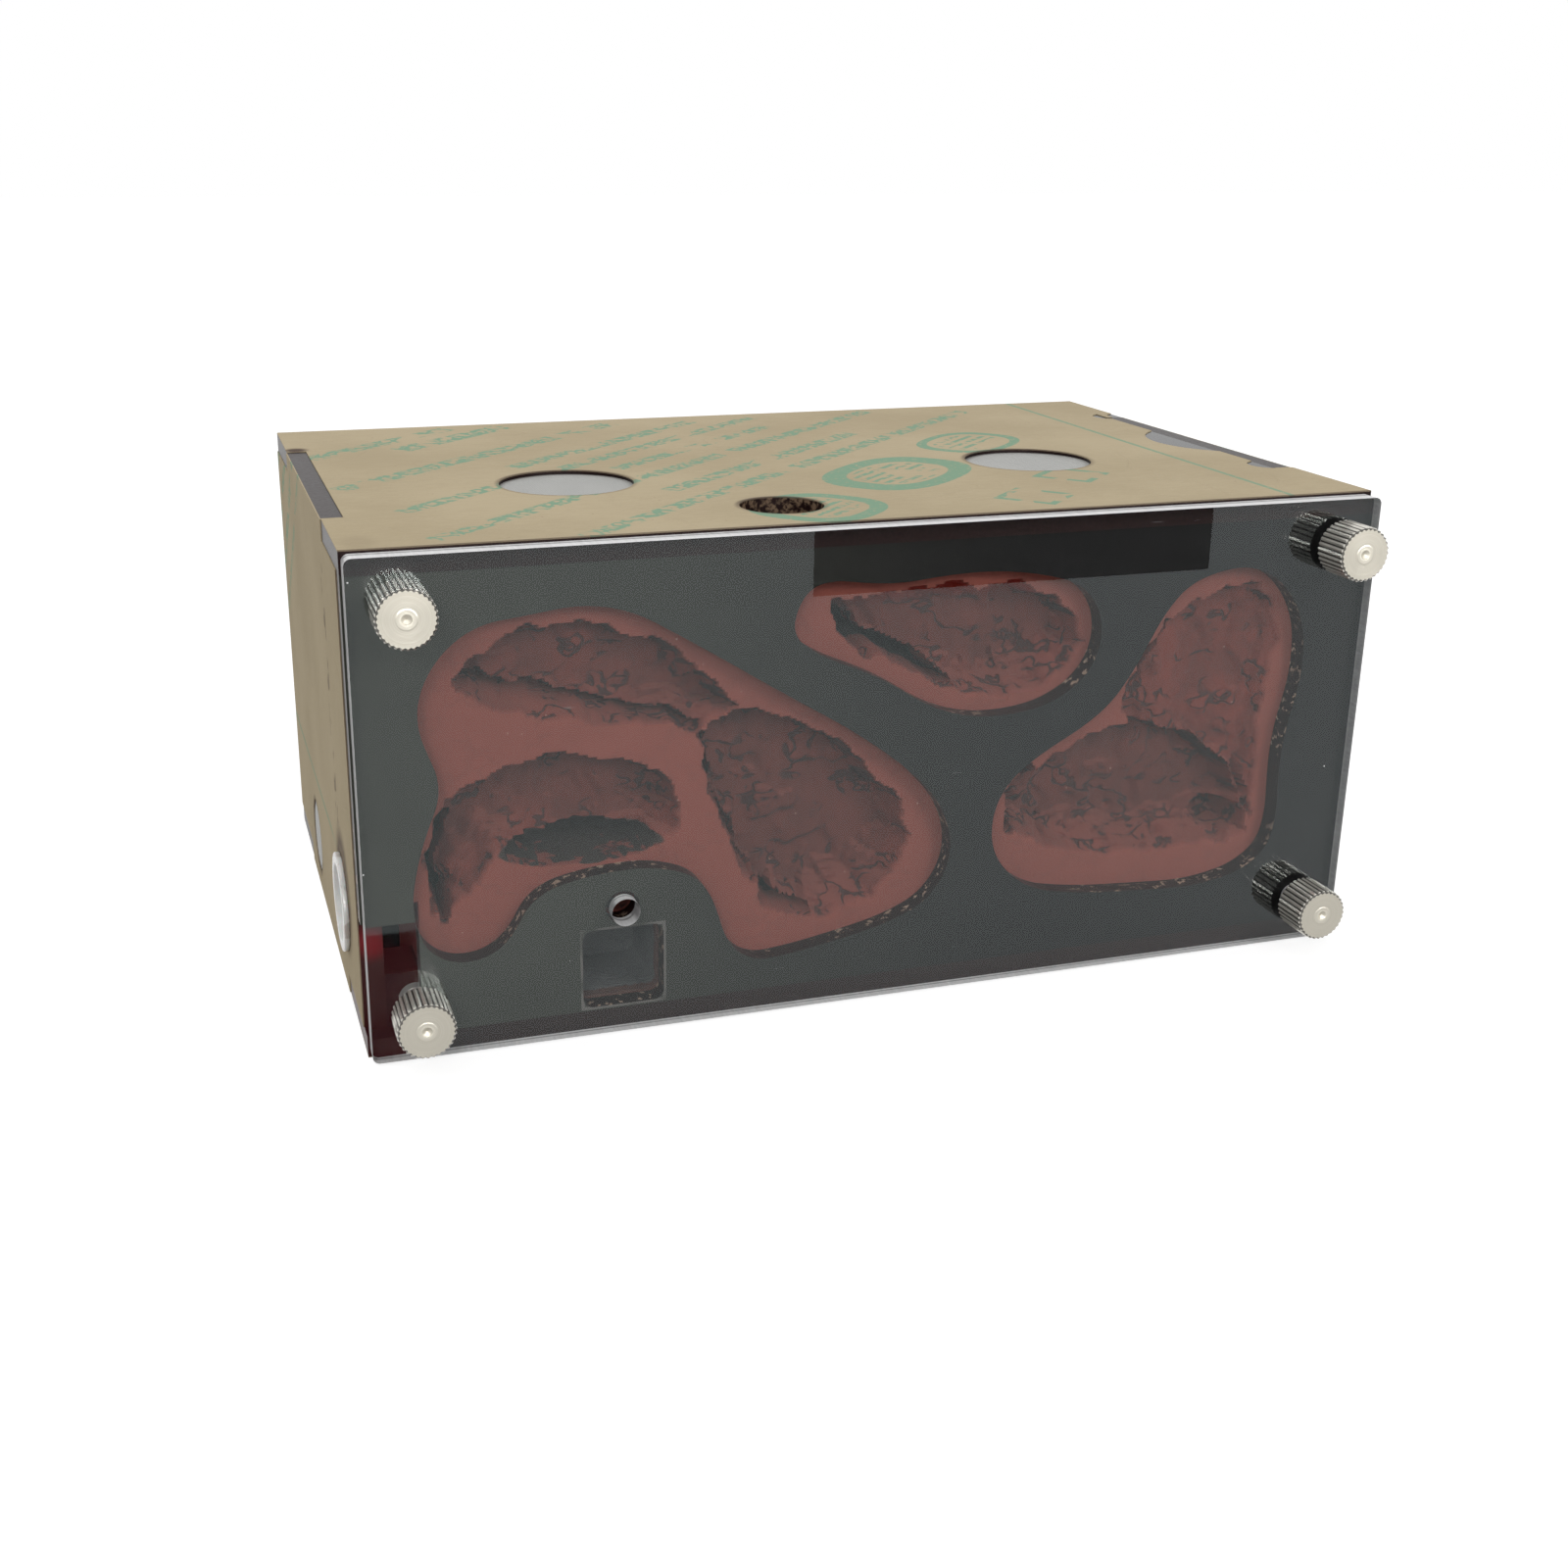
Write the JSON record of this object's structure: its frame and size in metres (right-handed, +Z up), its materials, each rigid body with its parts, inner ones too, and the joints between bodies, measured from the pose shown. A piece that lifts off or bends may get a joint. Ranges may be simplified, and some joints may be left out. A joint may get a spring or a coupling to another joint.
{
  "type": "ant habitat",
  "caption": "Boxed ant nest: paper-masked dark acrylic case, carved plaster chambers behind a windowed plate and clear front cover held by knurled thumb screws.",
  "frame": {"origin": "middle of the footprint, on the surface that the box stands on", "axes": "+X to the right seen from the windowed front, +Y from the front to the back, +Z up"},
  "size_m": [0.151, 0.1049, 0.0703],
  "materials": {
    "dark_acrylic": "polished",
    "clear_acrylic": "clear polished",
    "plaster": "matt carved",
    "masking_paper": "matt",
    "steel_mesh": "fine mesh",
    "nickel": "knurled nickel plate",
    "steel": "machined",
    "plug_silicone": "translucent white"
  },
  "bodies": {
    "case": {"bottom_panel": "dark_acrylic", "top_panel": "dark_acrylic", "back_panel": "dark_acrylic", "left_side_panel": "dark_acrylic", "right_side_panel": "dark_acrylic", "front_plate": "dark_acrylic", "nest_block": "plaster", "top_mask": "masking_paper", "bottom_mask": "masking_paper", "left_mask": "masking_paper", "right_mask": "masking_paper", "back_mask": "masking_paper", "vent_mesh_left": "steel_mesh", "vent_mesh_right": "steel_mesh", "vent_mesh_side": "steel_mesh", "corner_post_upper_left": "dark_acrylic", "corner_post_upper_right": "dark_acrylic", "corner_post_lower_left": "dark_acrylic", "corner_post_lower_right": "dark_acrylic", "insert_upper_left": "steel", "insert_upper_right": "steel", "insert_lower_left": "steel", "insert_lower_right": "steel"},
    "cover": {"front_cover": "clear_acrylic"},
    "plug": {"entrance_plug": "plug_silicone"},
    "screw_travel_upper_left": {"stud_upper_left": "steel"},
    "screw_head_upper_left": {"knob_upper_left": "nickel"},
    "screw_travel_upper_right": {"stud_upper_right": "steel"},
    "screw_head_upper_right": {"knob_upper_right": "nickel"},
    "screw_travel_lower_left": {"stud_lower_left": "steel"},
    "screw_head_lower_left": {"knob_lower_left": "nickel"},
    "screw_travel_lower_right": {"stud_lower_right": "steel"},
    "screw_head_lower_right": {"knob_lower_right": "nickel"}
  },
  "joints": [
    {"name": "cover_lift", "type": "slide", "parent": "case", "child": "cover", "axis": [0, -1, 0], "range_m": [0, 0.025]},
    {"name": "plug_pull", "type": "slide", "parent": "case", "child": "plug", "axis": [-1, 0, 0], "range_m": [0, 0.012]},
    {"name": "screw_travel_upper_left", "type": "slide", "parent": "cover", "child": "screw_travel_upper_left", "axis": [0, -1, 0], "range_m": [0, 0.006]},
    {"name": "screw_turn_upper_left", "type": "hinge", "parent": "screw_travel_upper_left", "child": "screw_head_upper_left", "pos_m": [-0.068, -0.05055, 0.06315], "axis": [0, -1, 0], "range_deg": [0, 4320]},
    {"name": "screw_travel_upper_right", "type": "slide", "parent": "cover", "child": "screw_travel_upper_right", "axis": [0, -1, 0], "range_m": [-0.001, 0.005]},
    {"name": "screw_turn_upper_right", "type": "hinge", "parent": "screw_travel_upper_right", "child": "screw_head_upper_right", "pos_m": [0.068, -0.05155, 0.06315], "axis": [0, -1, 0], "range_deg": [-720, 3600]},
    {"name": "screw_travel_lower_left", "type": "slide", "parent": "cover", "child": "screw_travel_lower_left", "axis": [0, -1, 0], "range_m": [0, 0.006]},
    {"name": "screw_turn_lower_left", "type": "hinge", "parent": "screw_travel_lower_left", "child": "screw_head_lower_left", "pos_m": [-0.068, -0.05055, 0.00715], "axis": [0, -1, 0], "range_deg": [0, 4320]},
    {"name": "screw_travel_lower_right", "type": "slide", "parent": "cover", "child": "screw_travel_lower_right", "axis": [0, -1, 0], "range_m": [-0.001, 0.005]},
    {"name": "screw_turn_lower_right", "type": "hinge", "parent": "screw_travel_lower_right", "child": "screw_head_lower_right", "pos_m": [0.068, -0.05155, 0.00715], "axis": [0, -1, 0], "range_deg": [-720, 3600]}
  ],
  "couplings": [
    {"joint": "screw_turn_upper_left", "follows": "screw_travel_upper_left", "rad_per_m": 12566},
    {"joint": "screw_turn_upper_right", "follows": "screw_travel_upper_right", "rad_per_m": 12566},
    {"joint": "screw_turn_lower_left", "follows": "screw_travel_lower_left", "rad_per_m": 12566},
    {"joint": "screw_turn_lower_right", "follows": "screw_travel_lower_right", "rad_per_m": 12566}
  ]
}
